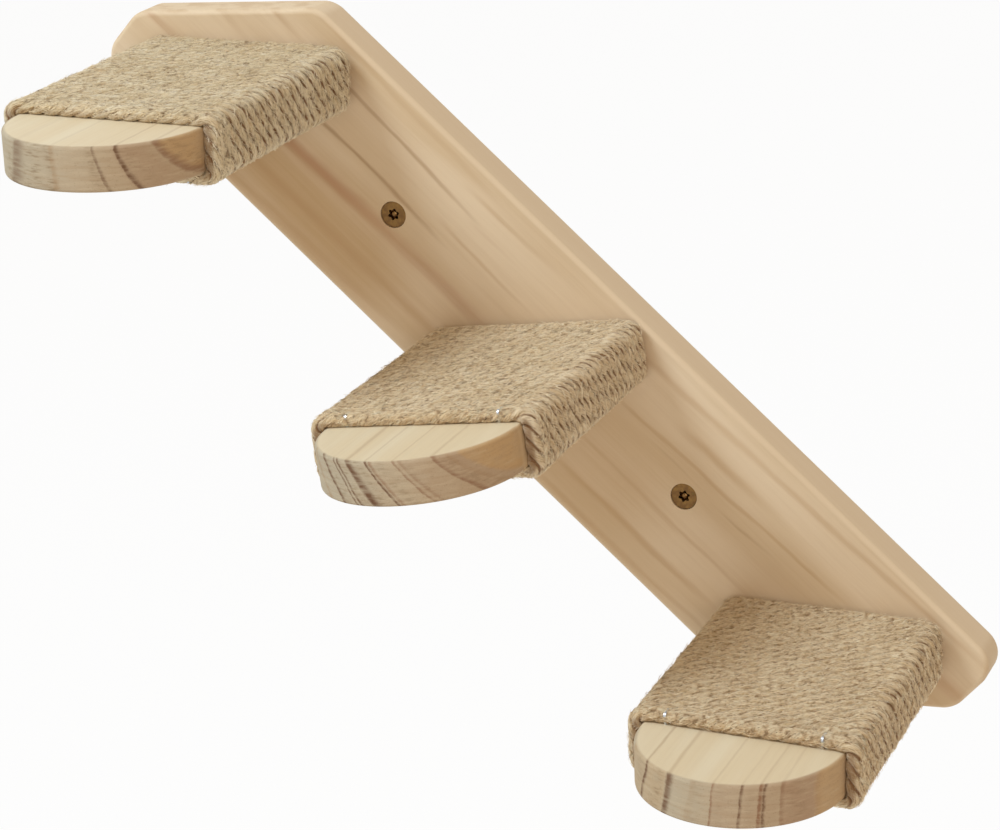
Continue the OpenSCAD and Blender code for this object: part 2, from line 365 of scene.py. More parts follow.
def board_pine():
    """Planed pine: a smooth pale ground, soft streaks of late wood, wide golden bands of painted
    shade around the steps, a painted highlight on both long edges, and end grain on the cuts.
    """
    material, tree, shader = new_material("board_pine", 0.55, 0.3)
    vector, along, depth, across = in_millimetres(tree, on_slope)
    grain = fibres(tree, vector, 0)
    sway = cloud(tree, stretch(tree, vector, (0.013, 0.03, 0.02)), 1)
    ripple = cloud(tree, stretch(tree, vector, (0.05, 0.2, 0.2)), 2)
    shift = calc(tree, "MULTIPLY_ADD", sway, 5, -2.5)
    shift = calc(tree, "MULTIPLY_ADD", ripple, 2.4, shift)
    shift = calc(tree, "MULTIPLY_ADD", grain, 1.2, calc(tree, "SUBTRACT", shift, 1.8))
    ring = calc(tree, "ADD", across, calc(tree, "MULTIPLY_ADD", depth, 0.45, shift))
    ring = calc(tree, "ADD", ring, 0.45 * board_t / mm)

    tone = cloud(tree, stretch(tree, vector, (0.006, 0.04, 0.045)), 2)
    colour = tint(tree, fade(tree, tone, 0.38, 0.62), pine_pale, pine_warm)
    breakup = fade(tree, grain, 0.3, 0.6, 0.82, 1)
    for start, end, left, right, width, strength, shade in board_streaks:
        slant = (right - left) / (end - start)
        middle = calc(tree, "MULTIPLY_ADD", along, slant, left - start * slant)
        away = calc(tree, "ABSOLUTE", calc(tree, "SUBTRACT", ring, middle))
        line = fade(tree, away, 0.05 * width, 0.7 * width + 0.3, strength, 0)
        line = calc(tree, "MULTIPLY", line, fade(tree, along, start - 10, start + 12))
        line = calc(tree, "MULTIPLY", line, fade(tree, along, end - 30, end + 12, 1, 0))
        colour = tint(tree, calc(tree, "MULTIPLY", line, breakup), colour, shade)
    colour = tint(tree, fade(tree, grain, 0.45, 0.62, 0, 0.1), colour, pine_tan)

    half_w = board_w / mm / 2
    half_len = board_len / mm / 2
    cut_height = level_cut / mm
    # Painted highlight: both long edges are made paler, as if light fell on the rounded edge and the
    # board's side.
    edge = fade(tree, calc(tree, "ABSOLUTE", across), half_w - 3, half_w - 0.5, 0, 0.7)
    colour = tint(tree, edge, colour, pine_pale)
    height = calc(tree, "MULTIPLY", calc(tree, "SUBTRACT", across, along), math.cos(board_slope))
    level = fade(tree, calc(tree, "ABSOLUTE", height), cut_height - 1.6, cut_height - 0.2)
    square = fade(tree, calc(tree, "ABSOLUTE", along), half_len - 1.6, half_len - 0.2)
    end_grain = calc(tree, "MAXIMUM", level, square)
    layers = cloud(tree, stretch(tree, vector, (0.05, 0.1, 0.12)), 2, 0.5)
    pores = cloud(tree, stretch(tree, vector, (1.4, 1.4, 1.4)), 3, 0.7)
    end_colour = tint(tree, fade(tree, layers, 0.42, 0.62, 0, 0.35), pine_pale, pine_tan)
    end_colour = tint(tree, fade(tree, pores, 0.5, 0.7, 0, 0.16), end_colour, pine_dark)
    colour = tint(tree, end_grain, colour, end_colour)
    tree.links.new(colour, shader.inputs["Base Color"])
    rough = calc(tree, "MULTIPLY_ADD", end_grain, 0.2, fade(tree, grain, 0.3, 0.7, 0.46, 0.6))
    tree.links.new(rough, shader.inputs["Roughness"])
    raise_grain(tree, shader, tint(tree, end_grain, grain, pores), 0.08 * mm)
    return material


def board_corners():
    """Corners of the board in its own plane, as places along the slope and across it."""
    half_len = board_len / 2
    half_w = board_w / 2
    sine = math.sin(board_slope)
    cosine = math.cos(board_slope)
    top = [
        Vector((-half_len, -half_w)),
        Vector((-half_len, (level_cut - half_len * sine) / cosine)),
        Vector(((half_w * cosine - level_cut) / sine, half_w)),
    ]
    return top + [-corner for corner in top]


def board_shape():
    """The board in its own plane: its outline drawn out to the front, with every edge eased."""
    shape = bmesh.new()
    back = shape.faces.new([shape.verts.new((c.x, 0, c.y)) for c in board_corners()])
    pull(shape, back, (0, -board_t, 0))
    bmesh.ops.recalc_face_normals(shape, faces=shape.faces)
    bends = {}
    for edge in shape.edges:
        start, end = edge.verts
        if abs(start.co.y - end.co.y) > board_t / 2:
            bends.setdefault(round(math.degrees(edge.calc_face_angle())), []).append(edge)
    for bend, edges in bends.items():
        round_edges(shape, edges, corner_r * math.tan(math.radians(bend / 2)), corner_steps)
    front_rim = []
    back_rim = []
    for edge in shape.edges:
        depths = [-point.co.y for point in edge.verts]
        if min(depths) > board_t - tiny:
            front_rim.append(edge)
        elif max(depths) < tiny:
            back_rim.append(edge)
    round_edges(shape, front_rim, front_round, segments=5)
    round_edges(shape, back_rim, back_bevel, segments=2)
    return shape


shape = board_shape()
bmesh.ops.transform(shape, matrix=on_slope, verts=shape.verts)
backboard = finish("backboard_wood", shape, board_pine())
holes = [(at_wall_screw(side), drill(wall_head_d, wall_thread_d)) for side in (-1, 1)]
for level in step_turns:
    for side in (-1, 1):
        holes.append((at_step_screw(level, side), drill(step_head_d, step_thread_d)))
cut_holes(backboard, holes)
keep_flats(backboard)
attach(backboard, "root")
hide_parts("backboard")

# Each step is a length of pine with a round nose, its edges eased by sanding. It stands with
# its sawn end against the board and is held by the two step screws from behind. The nose
# cuts across the grain, so that it shows the ends of the growth rings.
step_w = 87.5 * mm
step_t = 19 * mm
step_reach = 175 * mm
step_edge = 1.5 * mm
nose_r = step_w / 2
nose_y = board_t + step_reach - nose_r
nose_steps = 72

ring_dark = srgb(112, 80, 56)
ring_red = srgb(140, 100, 72)
ring_soft = srgb(168, 136, 102)
ring_stain = srgb(120, 92, 58)
end_grey = srgb(186, 172, 148)
end_tan = srgb(190, 166, 136)
zone_pink = srgb(176, 144, 116)
gold_zone_and_shade = srgb(196, 157, 108)
top_pale = srgb(226, 211, 182)
top_warm = srgb(221, 202, 169)

# The growth rings that each nose shows. A ring has its place across the step at the top, its
# width, its strength on the end and on the top, and its colour. The lean is how far the rings
# shift from top to bottom: at the middle of the step, and the further shift for each millimetre
# towards its right side. The smudges are sawn marks with old resin: place, width and strength.
# The zones are warmer stretches between two rings: both places, strength and colour.
step_rings = {
    "upper": {
        "lean": (1.6, 0.2),
        "rings": [
            (-38, 3, 0.25, 0.1, ring_soft), (-21.5, 5, 0.6, 0.2, ring_dark),
            (-3, 2, 0.45, 0.35, ring_soft), (14.5, 0.9, 0.6, 0.1, ring_dark),
            (22.5, 1.3, 0.95, 0.7, ring_dark), (34.5, 1.8, 0.7, 0.7, ring_red),
        ],
        "smudges": [
            (-24, 5, 0.6), (-12, 7, 0.8), (-4, 3, 0.8), (13, 3, 0.45), (25, 4, 0.3), (37, 3.5, 0.5),
        ],
        "zones": [(21, 33.5, 0.45, zone_pink), (34.5, 56, 0.7, gold_zone_and_shade)],
    },
    "middle": {
        "lean": (12, 0.1),
        "rings": [
            (-36, 1.4, 0.5, 0, ring_soft), (-29, 1.4, 0.9, 0, ring_dark),
            (-22.5, 0.9, 0.8, 0.1, ring_dark), (-20.5, 1, 0.85, 0.1, ring_dark),
            (-15, 2.8, 1, 0.8, ring_dark), (-6, 1.1, 0.95, 0.6, ring_dark),
            (-4.2, 1.4, 0.6, 0.1, ring_red), (6.5, 0.9, 0.65, 0.55, ring_red),
            (9, 1.2, 0.35, 0.1, ring_red), (21, 1.4, 0.75, 0.65, ring_red),
            (26, 1.4, 0.4, 0, ring_soft),
        ],
        "smudges": [
            (-27, 4, 0.6), (-19, 3, 0.6), (-11, 4, 0.7), (0, 4, 0.45), (10, 3, 0.3), (24, 4, 0.4),
        ],
        "zones": [
            (6.5, 21, 0.25, zone_pink), (21, 31, 0.5, zone_pink), (29, 60, 0.75, gold_zone_and_shade),
        ],
    },
    "lower": {
        "lean": (-2.6, 0.06),
        "rings": [
            (-39, 2, 0.4, 0, ring_soft), (-29.5, 1.2, 0.95, 1, ring_dark),
            (-17.5, 2.4, 0.9, 0.75, ring_dark), (-7, 2.2, 0.25, 0, ring_soft),
            (2, 0.8, 0.7, 0.5, ring_red), (13.2, 1, 0.85, 0.3, ring_dark),
            (20, 1.2, 0.85, 0.5, ring_red), (21.4, 0.9, 0.8, 0.1, ring_dark),
            (27.5, 1, 0.55, 0.4, ring_red), (38, 1.2, 0.3, 0, ring_soft),
        ],
        "smudges": [
            (-32, 5, 0.3), (-22, 3, 0.7), (-5, 4, 0.3), (5, 3, 0.3), (17, 2, 0.25), (32, 5, 0.35),
        ],
        "zones": [
            (-40, -18, 0.35, gold_zone_and_shade), (1.5, 27, 0.3, zone_pink),
            (27, 38.5, 0.75, zone_pink), (37, 60, 0.55, gold_zone_and_shade),
        ],
    },
}


def step_pine(level):
    """Pine whose rings run along the step: soft lines on its top, sharp ones on its nose, and
    painted warm shade on its flanks and towards the right of its nose.
    """
    material, tree, shader = new_material("step_pine_" + level, 0.58, 0.28)
    vector, across, depth, height = in_millimetres(tree, at_step(level))
    grain = fibres(tree, vector, 1)
    wobble = cloud(tree, stretch(tree, vector, (0.09, 0.012, 0.09)), 2)
    jitter = cloud(tree, stretch(tree, vector, (0.9, 0.12, 0.9)), 3, 0.6)
    lean, more = step_rings[level]["lean"]
    down = calc(tree, "MULTIPLY_ADD", height, -mm / step_t, 0.5)
    slide = calc(tree, "MULTIPLY", down, calc(tree, "MULTIPLY_ADD", across, more, lean))
    ring = calc(tree, "SUBTRACT", across, slide)
    ring = calc(tree, "ADD", ring, calc(tree, "MULTIPLY_ADD", wobble, 2.4, -1.2))
    ring = calc(tree, "ADD", ring, calc(tree, "MULTIPLY_ADD", jitter, 1.2, -0.6))

    ahead = calc(tree, "SUBTRACT", -nose_y / mm, depth)
    squares = calc(tree, "MULTIPLY_ADD", across, across, calc(tree, "MULTIPLY", ahead, ahead))
    out = calc(tree, "SQRT", squares)
    facing = calc(tree, "DIVIDE", calc(tree, "MAXIMUM", ahead, 0), calc(tree, "MAXIMUM", out, 1))
    rim_at = nose_r / mm
    rim = fade(tree, out, rim_at - 2, rim_at - 0.5)
    end_grain = calc(tree, "MULTIPLY", fade(tree, facing, 0, 0.08), rim)

    tone = cloud(tree, stretch(tree, vector, (0.06, 0.006, 0.06)), 2)
    side_colour = tint(tree, fade(tree, tone, 0.35, 0.65), top_pale, top_warm)
    patch = cloud(tree, stretch(tree, vector, (0.1, 0.1, 0.16)), 2)
    # Partly painted shade: the nose end turns tan in random patches, which is its own tone, and more
    # so towards its right side, which paints the warm shade on the side away from the key lamp.
    warmth_and_shade = fade(tree, calc(tree, "MULTIPLY_ADD", patch, 30, across), -15, 50)
    end_colour = tint(tree, warmth_and_shade, end_grey, end_tan)
    sawn = cloud(tree, stretch(tree, vector, (0.08, 0.08, 0.7)), 2, 0.6)
    speck = cloud(tree, stretch(tree, vector, (0.2, 0.2, 1.1)), 2, 0.5)
    pores = cloud(tree, stretch(tree, vector, (1.4, 1.4, 1.8)), 3, 0.7)
    for start, stop, strength, shade in step_rings[level]["zones"]:
        zone = fade(tree, ring, start - 0.4, start + 1.6)
        zone = calc(tree, "MULTIPLY", zone, fade(tree, ring, stop - 2, stop + 2, strength, 0))
        zone = calc(tree, "MULTIPLY", zone, fade(tree, patch, 0.3, 0.6, 0.7, 1))
        end_colour = tint(tree, zone, end_colour, shade)
    end_colour = tint(tree, fade(tree, sawn, 0.5, 0.68, 0, 0.22), end_colour, ring_soft)
    end_colour = tint(tree, fade(tree, sawn, 0.46, 0.34, 0, 0.15), end_colour, top_warm)
    for place, width, strength in step_rings[level]["smudges"]:
        away = calc(tree, "ABSOLUTE", calc(tree, "SUBTRACT", ring, place))
        stain = fade(tree, away, 0, 1.2 * width, 0.7 * strength, 0)
        stain = calc(tree, "MULTIPLY", stain, fade(tree, speck, 0.45, 0.7, 0.12, 1))
        end_colour = tint(tree, stain, end_colour, ring_stain)
    end_colour = tint(tree, fade(tree, pores, 0.6, 0.68, 0, 0.4), end_colour, ring_stain)
    for place, width, strength, on_top, shade in step_rings[level]["rings"]:
        away = calc(tree, "SUBTRACT", ring, place)
        before = fade(tree, away, -0.6 * width, -0.1 * width)
        after = fade(tree, away, 0.1 * width, 1.3 * width, 1, 0)
        sharp = calc(tree, "MULTIPLY", before, after)
        sharp = calc(tree, "MULTIPLY", sharp, fade(tree, sawn, 0.3, 0.6, 0.5, 1))
        end_colour = tint(tree, calc(tree, "MULTIPLY", sharp, strength), end_colour, shade)
        if on_top:
            faint = fade(tree, calc(tree, "ABSOLUTE", away), 0, 0.4 * width + 0.6, 0.45 * on_top, 0)
            side_colour = tint(tree, faint, side_colour, ring_soft)
    side_colour = tint(tree, fade(tree, grain, 0.45, 0.65, 0, 0.06), side_colour, ring_soft)
    # Painted shade: both straight sides of the step are tinted golden, the warm shade on its flanks.
    painted_flank_shade = fade(tree, calc(tree, "ABSOLUTE", across), rim_at - 1.2, rim_at - 0.3, 0, 0.6)
    side_colour = tint(tree, painted_flank_shade, side_colour, gold_zone_and_shade)
    colour = tint(tree, end_grain, side_colour, end_colour)
    tree.links.new(colour, shader.inputs["Base Color"])
    rough = calc(tree, "MULTIPLY_ADD", end_grain, 0.2, fade(tree, grain, 0.3, 0.7, 0.5, 0.64))
    tree.links.new(rough, shader.inputs["Roughness"])
    relief = tint(tree, end_grain, grain, pores)
    raise_grain(tree, shader, relief, 0.12 * mm)
    return material


def step_shape():
    """A step in its own frame, drawn as its outline from above and raised to its thickness."""
    shape = bmesh.new()
    side = shape.verts.new((nose_r, -nose_y, -step_t / 2))
    bmesh.ops.spin(
        shape, geom=[side], cent=(0, -nose_y, -step_t / 2), axis=(0, 0, -1), angle=math.pi,
        steps=nose_steps, use_duplicate=False,
    )
    arc = sorted(shape.verts, key=lambda point: -point.co.x)
    corners = [shape.verts.new((x, -board_t, -step_t / 2)) for x in (-nose_r, nose_r)]
    base = shape.faces.new(arc + corners)
    pull(shape, base, (0, 0, step_t))
    eased = [
        edge for edge in shape.edges
        if abs(edge.verts[0].co.z - edge.verts[1].co.z) < tiny
        and min(point.co.y for point in edge.verts) < -board_t - tiny
    ]
    round_edges(shape, eased, step_edge, segments=4)
    return shape


for level in step_turns:
    shape = step_shape()
    bmesh.ops.transform(shape, matrix=at_step(level), verts=shape.verts)
    step = finish(f"step_{level}_wood", shape, step_pine(level))
    keep_flats(step)
    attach(step, "root")
    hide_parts("step_" + level)

# Each step is wound with one length of jute rope, three strands laid together to about 6 mm.
# It starts under the step near the board and goes round 22 times, each turn pressed on the
# last. It ends underneath again, where staples hold both of its tails. Its fibres fray.
rope_spans = {"upper": 133 * mm, "middle": 131.5 * mm, "lower": 132.5 * mm}
rope_w = 5 * mm
rope_h = 4.6 * mm
rope_root_gap = 1 * mm
rope_side_gap = 1.4 * mm
rope_tail = 16.4 * mm
rope_clear = 0.15 * mm
rope_loops = 21
rope_lay = 22.5 * mm
rope_side_r = 2.95 * mm
rope_outer_r = 2.75 * mm
rope_inner_r = 2.25 * mm
rope_rightward = {"upper": 1, "middle": -1, "lower": 1}
# How much further forward the front turn leans over the width of the step, the way it is wound
rope_leans = {"upper": 0.4 * mm, "middle": 0.6 * mm, "lower": 2.2 * mm}
strands = 3
strand_points = 6
strand_groove = 0.24
rope_square = 2.4
ring_points = strands * strand_points
ring_gap = 1 * mm
end_rings = 2

# How far the rope strays along the step, off the wood and in its twist, how far its strands
# and its surface swell as shares of its girth, and over what length each of these changes
rope_sway = 0.28 * mm
rope_sway_run = 30 * mm
rope_lift = 0.16 * mm
rope_lift_run = 14 * mm
rope_slack = 0.75
rope_slack_run = 45 * mm
strand_swell = 0.12
strand_swell_run = 7 * mm
rough_swell = 0.07
rough_swell_run = 2.6 * mm

# The front turn lies free along the nose, so it swells. It has also slipped forwards on the
# left and the right side of the step, and the turns behind it less and less. The staples
# press it in. The swelling and the pressing are shares of its girth.
front_swell = {"upper": 0.18, "middle": 0.1, "lower": 0.06}
front_run = 20 * mm
front_slip = {
    "upper": (2 * mm, 0.6 * mm), "middle": (1.6 * mm, 2.4 * mm), "lower": (1 * mm, 2 * mm),
}
slipped_loops = 5
slip_inset = 4 * mm
slip_run = 6 * mm
staple_press = {"upper": 0, "middle": 0.11, "lower": 0.14}
staple_inset = 10 * mm
staple_dent = 3 * mm

bend_r = step_edge + rope_clear + rope_h / 2
bend_run = math.pi / 2 * bend_r
corner_x = nose_r + rope_side_gap - step_edge
corner_z = step_t / 2 - step_edge
rope_corners = [
    (Vector((-corner_x, -corner_z)), 2 * corner_z),
    (Vector((-corner_x, corner_z)), 2 * corner_x),
    (Vector((corner_x, corner_z)), 2 * corner_z),
    (Vector((corner_x, -corner_z)), 2 * corner_x),
]
loop_run = 4 * bend_run + 4 * corner_x + 4 * corner_z
part_loop = (loop_run - 2 * corner_x + 2 * rope_tail) / loop_run
rope_run = (rope_loops + part_loop) * loop_run
rope_pitches = {
    level: (span - rope_root_gap - rope_w) / (rope_loops + part_loop)
    for level, span in rope_spans.items()
}


def winding_place(run):
    """Middle of the rope in the step's section, and its outward angle, at a length along a loop."""
    run %= loop_run
    for count, (corner, straight) in enumerate(rope_corners):
        start = math.radians(270 - 90 * count)
        bent = min(run, bend_run)
        angle = start - bent / bend_r
        outward = Vector((math.cos(angle), math.sin(angle)))
        run -= bent
        if run < straight:
            forward = Vector((math.sin(angle), -math.cos(angle)))
            return corner + bend_r * outward + run * forward, outward
        run -= straight


def rope_place(level, run):
    """The rope's middle in the step's own frame at a length along it, and the way off the wood."""
    middle, outward = winding_place(run - rope_tail)
    ahead = board_t + rope_root_gap + rope_w / 2 + rope_pitches[level] * run / loop_run
    ahead += rope_leans[level] * run / rope_run * middle.x / step_w
    return Vector((middle.x, -ahead, middle.y)), Vector((outward.x, 0, outward.y))


def rope_reach(outward, around, square=rope_square):
    """From the rope's middle to its surface. Around is the angle about the rope: 0 towards the
    nose and a quarter turn away from the wood. Square is 2 where the rope lies free and round."""
    side = math.cos(around)
    lift = math.sin(around)
    spread = (abs(side) ** square + abs(lift) ** square) ** (1 / square)
    height = rope_outer_r if lift > 0 else rope_inner_r + rope_side_gap * abs(outward.x)
    return Vector((0, -side * rope_side_r / spread, 0)) + outward * (lift * height / spread)


def wound(level):
    """The winding's place on its step, turned over side to side where it is wound leftward."""
    return at_step(level) @ Matrix.Diagonal((rope_rightward[level], 1, 1, 1))


def noise_along(run, length, lane, seed):
    """Smooth noise from -1 to 1 that changes over a length of rope, its own for each lane."""
    return noise.noise(Vector((run / length, lane, seed)))


def rope_ring(level, run, taper):
    """The points around the rope at a length along it, and how much painted shade each one gets."""
    seed = 10 * list(step_turns).index(level)
    middle, outward = rope_place(level, run)
    middle.y += rope_sway * noise_along(run, rope_sway_run, 3.7, seed)
    middle += outward * (rope_lift * noise_along(run, rope_lift_run, 5.2, seed))
    twist = math.tau * run / rope_lay + rope_slack * noise_along(run, rope_slack_run, 9.1, seed)
    twist *= rope_rightward[level]

    free = min(1, max(0, (run - rope_run + 1.1 * loop_run) / front_run))
    late = max(0, 1 - (rope_run - run) / (slipped_loops * loop_run)) ** 1.5
    beside = min(1, max(0, abs(middle.x) - nose_r + slip_inset) / slip_run)
    on_right = rope_rightward[level] * middle.x > 0
    middle.y -= front_slip[level][on_right] * late * beside
    near_staple = max(0, 1 - abs(abs(middle.x) - nose_r + staple_inset) / staple_dent)
    pinch = staple_press[level] * free * near_staple * max(0, outward.z)

    depth = strand_groove * (1 + 0.5 * abs(outward.x))
    points = []
    groove_shades = []
    for k in range(ring_points):
        strand, part = divmod(k, strand_points)
        arch = math.sin(math.pi * part / strand_points) ** 0.5
        swell = strand_swell * noise_along(run, strand_swell_run, 20 * strand, seed)
        swell += rough_swell * noise_along(run, rough_swell_run, 1.3 * k, seed)
        swell += free * front_swell[level] - pinch
        around = math.tau * k / ring_points + twist
        front = free * (math.cos(around) > 0)
        square = rope_square + front * (-0.4 if math.sin(around) > 0 else 1.2)
        girth = (1 - depth * (1 - arch)) * (1 + swell) * taper
        points.append(middle + girth * rope_reach(outward, around, square))
        # Painted shade: the hollows between the strands are darkened, more so where the rope runs
        # down the step's sides, and the nose-facing lower side of the front turn is browned where it
        # shades the nose.
        low = max(0, 1 - 1.5 * max(0, math.sin(around)))
        nose_side_shade = 0.6 * front * math.cos(around) * low
        between = (1 - arch) * (0.75 + 0.25 * abs(outward.x))
        groove_shades.append(max(between, nose_side_shade) + 0.2 * abs(outward.x))
    return points, groove_shades


def rope_mesh(level):
    """A twisted tube of three strands along the winding, with its length and girth as UV."""
    rings = round(rope_run / ring_gap)
    place = wound(level)
    points = []
    groove_shades = []
    for ring in range(rings + 1):
        from_end = min(ring, rings - ring)
        taper = min(1, 0.55 + 0.45 * from_end / end_rings)
        ring_places, ring_groove_shades = rope_ring(level, rope_run * ring / rings, taper)
        points += [place @ point for point in ring_places]
        groove_shades += ring_groove_shades
    faces = []
    for ring in range(rings):
        for k in range(ring_points):
            a = ring * ring_points + k
            b = ring * ring_points + (k + 1) % ring_points
            faces.append((a, a + ring_points, b + ring_points, b))
    first = tuple(range(ring_points))
    last = tuple(range(rings * ring_points, (rings + 1) * ring_points))
    faces += [first, last[::-1]]
    mesh = bpy.data.meshes.new("rope_" + level)
    mesh.from_pydata(points, [], faces)
    # Each point's painted shade goes to the rope's material as an attribute.
    groove_shade = mesh.attributes.new("groove_shade", "FLOAT", "POINT")
    groove_shade.data.foreach_set("value", groove_shades)
    uv = mesh.uv_layers.new(name="rope")
    for face in mesh.polygons[:-2]:
        for corner, vertex in zip(face.loop_indices, face.vertices):
            ring, k = divmod(vertex, ring_points)
            wraps = k == 0 and face.index % ring_points == ring_points - 1
            girth = 1 if wraps else k / ring_points
            uv.data[corner].uv = (rope_run * ring / rings, girth)
    return mesh


def jute_rope(level):
    """Laid jute: fine fibres of many tones, with painted shade that browns the hollows between the
    strands, the rope's sides and the front turn's nose side.
    """
    material, tree, shader = new_material("jute_rope_" + level, 0.92, 0.12)
    shader.inputs["Sheen Weight"].default_value = 0.2
    shader.inputs["Sheen Roughness"].default_value = 0.5
    uv = add_node(tree, "UVMap", uv_map="rope").outputs[0]
    place = add_node(tree, "TexCoord").outputs["Object"]
    groove_shade = add_node(tree, "Attribute", attribute_name="groove_shade").outputs["Fac"]
    length, girth = add_node(tree, "SeparateXYZ", uv).outputs[:2]
    crossed = calc(tree, "MULTIPLY_ADD", length, 30, girth)
    laid = add_node(tree, "CombineXYZ", length, crossed, 0).outputs[0]
    fibre = cloud(tree, stretch(tree, laid, (330, 30, 1)), 3, 0.7)
    crossed = calc(tree, "MULTIPLY_ADD", length, -70, girth)
    stray = add_node(tree, "CombineXYZ", length, crossed, 7).outputs[0]
    loose = cloud(tree, stretch(tree, stray, (200, 22, 1)), 3, 0.65)
    tuft = cloud(tree, stretch(tree, laid, (70, 5, 1)), 2, 0.6)
    batch = cloud(tree, stretch(tree, place, (45, 45, 45)), 3, 0.6)
    pale, deep = jute_tones[level]
    colour = tint(tree, fade(tree, batch, 0.38, 0.62), pale, deep)
    colour = tint(tree, fade(tree, tuft, 0.42, 0.62, 0, 0.5), colour, jute_gold)
    colour = tint(tree, fade(tree, fibre, 0.5, 0.62, 0, 0.6), colour, jute_pale)
    colour = tint(tree, fade(tree, fibre, 0.47, 0.36, 0, 0.75), colour, jute_brown)
    colour = tint(tree, fade(tree, loose, 0.56, 0.66, 0, 0.5), colour, jute_pale)
    # Painted shade: browner where the mesh gives each point more shade.
    colour = tint(tree, fade(tree, groove_shade, 0.3, 1, 0, 0.85), colour, jute_brown)
    tree.links.new(colour, shader.inputs["Base Color"])
    relief = calc(tree, "MULTIPLY_ADD", fibre, 0.6, calc(tree, "MULTIPLY", loose, 0.5))
    raise_grain(tree, shader, relief, 1.1 * mm)
    return material


def jute_fibre(level):
    """The loose fibres of the same rope, most of them paler than the rope itself."""
    material, tree, shader = new_material("jute_fibre_" + level, 0.85, 0.2)
    place = add_node(tree, "TexCoord").outputs["Object"]
    batch = cloud(tree, stretch(tree, place, (420, 420, 420)), 2)
    pale, deep = jute_tones[level]
    colour = tint(tree, fade(tree, batch, 0.4, 0.6), jute_pale, pale)
    colour = tint(tree, fade(tree, batch, 0.55, 0.68, 0, 0.6), colour, jute_brown)
    tree.links.new(colour, shader.inputs["Base Color"])
    return material


def fuzz_mesh(level, chance, stray):
    """Loose fibres that stand a little off the rope: thin bent tubes of three sides. Stray is
    how far their directions spread, in radians about the rope."""
    place = wound(level)
    points = []
    faces = []

    def add_fibre(middle, thick):
        base = len(points)
        for part, centre in enumerate(middle):
            forward = (middle[min(part + 1, 2)] - middle[max(part - 1, 0)]).normalized()
            across = forward.orthogonal().normalized()
            slim = thick * (1, 0.9, 0.4)[part]
            for corner in range(3):
                angle = math.tau * corner / 3
                offset = across * math.cos(angle) + forward.cross(across) * math.sin(angle)
                points.append(place @ (centre + slim * offset))
        for part in range(2):
            for corner in range(3):
                a = base + 3 * part + corner
                b = base + 3 * part + (corner + 1) % 3
                faces.append((a, b, b + 3, a + 3))
        faces.append((base + 2, base + 1, base))
        faces.append((base + 6, base + 7, base + 8))

    # Every fifth fibre stands on the front turn. The first turns lie against the board, so
    # their fibres stand on the side away from it.
    for count in range(fuzz_count):
        stretch_run = 1.2 * loop_run if count % 5 == 0 else rope_run - 15 * mm
        run = rope_run - 12 * mm - chance.uniform(0, stretch_run)
        around = math.radians(chance.uniform(-25, 205))
        if run < 2 * loop_run:
            around = math.radians(chance.uniform(-25, 95))
        reach = chance.uniform(2, 7) * mm
        veer = rope_rightward[level] * math.tau * reach / rope_lay + chance.gauss(0, stray)
        rise = 0.03 + 0.45 * chance.random() ** 2
        bow = chance.uniform(0.02, 0.14)
        middle = []
        for t in (0, 0.5, 1):
            centre, outward = rope_place(level, run + reach * t)
            girth = 1 + rise * t * t + bow * math.sin(math.pi * t)
            middle.append(centre + girth * rope_reach(outward, around + veer * t))
        add_fibre(middle, chance.uniform(0.06, 0.15) * mm)

    for end, way in ((0, -1), (rope_run, 1)):
        centre, outward = rope_place(level, end)
        along = Vector((-way, 0, 0))
        for count in range(tail_fuzz_count):
            turn = chance.uniform(0, math.tau)
            start = centre + chance.uniform(0.2, 0.9) * rope_reach(outward, turn)
            flare = rope_reach(outward, turn + chance.gauss(0, 0.5)) * chance.uniform(0.1, 0.9)
            reach = chance.uniform(2, 6) * mm
            middle = [start + (along * reach + flare * t) * t for t in (-0.3, 0.4, 1)]
            add_fibre(middle, chance.uniform(0.06, 0.11) * mm)
    mesh = bpy.data.meshes.new("fibres")
    mesh.from_pydata(points, [], faces)
    return mesh


def show(name, mesh, material):
    """Closes a mesh made by a loop: normals outwards, smooth, linked to the scene."""
    shape = bmesh.new()
    shape.from_mesh(mesh)
    bpy.data.meshes.remove(mesh)
    return finish(name, shape, material, math.radians(60))


fuzz_count = 12500
tail_fuzz_count = 160
jute_pale = srgb(248, 234, 206)
jute_gold = srgb(216, 184, 136)
jute_brown = srgb(126, 82, 42)
jute_tones = {
    "upper": (srgb(238, 223, 193), srgb(224, 204, 167)),
    "middle": (srgb(238, 217, 184), srgb(222, 197, 159)),
    "lower": (srgb(231, 207, 170), srgb(214, 186, 146)),
}
for level in step_turns:
    rope = show(f"rope_{level}_jute", rope_mesh(level), jute_rope(level))
    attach(rope, "root")
    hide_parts("rope_" + level)
    loose_jute = jute_fibre(level)
    for name, stray in (("fibres", 0.6), ("hairs", 1.5)):
        fuzz = fuzz_mesh(level, random.Random(level + name), stray)
        fuzz = show(f"rope_{level}_{name}", fuzz, loose_jute)
        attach(fuzz, "root")

# The screws are countersunk wood screws with a six-lobe drive, zinc plated and yellow passivated.
# Two large ones go through the board into the wall. Two smaller ones hold each step from
# behind. A smooth shank under the head lets the thread pull the pieces together.
wall_screw_len = 60 * mm
wall_shank_d = 4.4 * mm
wall_drive_d = 5.6 * mm
step_screw_len = 50 * mm
step_shank_d = 2.9 * mm
step_drive_d = 3.9 * mm
shank_len = 18.7 * mm
head_ease_w = 0.15 * mm
head_ease_h = 0.12 * mm
screw_sides = 72
turn_steps = 20
lobes = 6
# The core, the point and the pitch as shares of the thread's width, and the ridge of the pitch
core_share = 0.34
point_share = 1.2
pitch_share = 0.45
ridge_share = 0.22
# The drive's floor rises to a low dome. Each of its rings has a radius and a depth, as shares
# of the drive's width, like the depth of the drive's walls.
drive_depth = 0.4
drive_dome = ((0.25, 0.34), (0.22, 0.12), (0.14, 0.05), (0.05, 0.02))


